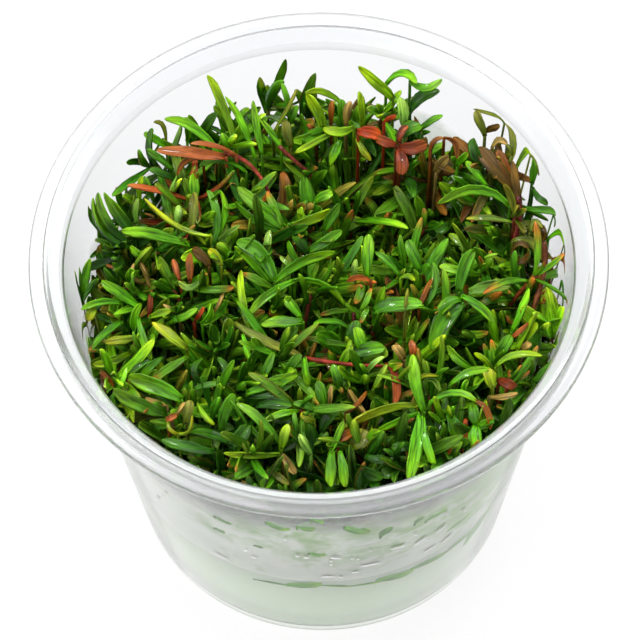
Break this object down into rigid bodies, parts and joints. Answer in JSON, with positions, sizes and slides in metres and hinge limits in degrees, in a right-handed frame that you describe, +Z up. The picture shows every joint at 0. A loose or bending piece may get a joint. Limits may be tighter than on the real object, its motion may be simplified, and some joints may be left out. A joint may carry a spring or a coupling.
{
  "type": "tissue-culture cup of rotala plants",
  "caption": "Round tapered clear culture cup with a stepped lid rim, a slab of pale gel in its foot and a dense crowd of narrow-leaved aquarium shoots that fills it to the rim.",
  "frame": {"origin": "centre of the cup's standing ring, on the surface it stands on", "axes": "+Z up through the cup's mouth, square to the lid seat; +Y to the back as pictured, +X to the right"},
  "size_m": [0.0998, 0.1, 0.081],
  "materials": {
    "cup_plastic": "clear, slightly frosted, wet inside",
    "nutrient_gel": "milky translucent gel",
    "crowded_leaf": "wet leaf",
    "leaf": "wet leaf"
  },
  "bodies": {
    "root": {"cup": "cup_plastic", "gel": "nutrient_gel", "shoot_mat": "crowded_leaf", "shoot_01": "leaf", "shoot_02": "leaf", "shoot_03": "leaf", "shoot_04": "leaf", "shoot_05": "leaf", "shoot_06": "leaf", "shoot_07": "leaf", "shoot_08": "leaf", "shoot_09": "leaf", "shoot_10": "leaf", "shoot_11": "leaf", "shoot_12": "leaf", "shoot_13": "leaf", "shoot_14": "leaf", "shoot_15": "leaf", "shoot_16": "leaf", "shoot_17": "leaf", "shoot_18": "leaf", "shoot_19": "leaf", "shoot_20": "leaf", "shoot_21": "leaf", "shoot_22": "leaf", "shoot_23": "leaf", "shoot_24": "leaf", "shoot_25": "leaf", "shoot_26": "leaf", "shoot_27": "leaf", "shoot_28": "leaf", "shoot_29": "leaf", "shoot_30": "leaf", "shoot_31": "leaf", "shoot_32": "leaf"}
  },
  "joints": []
}
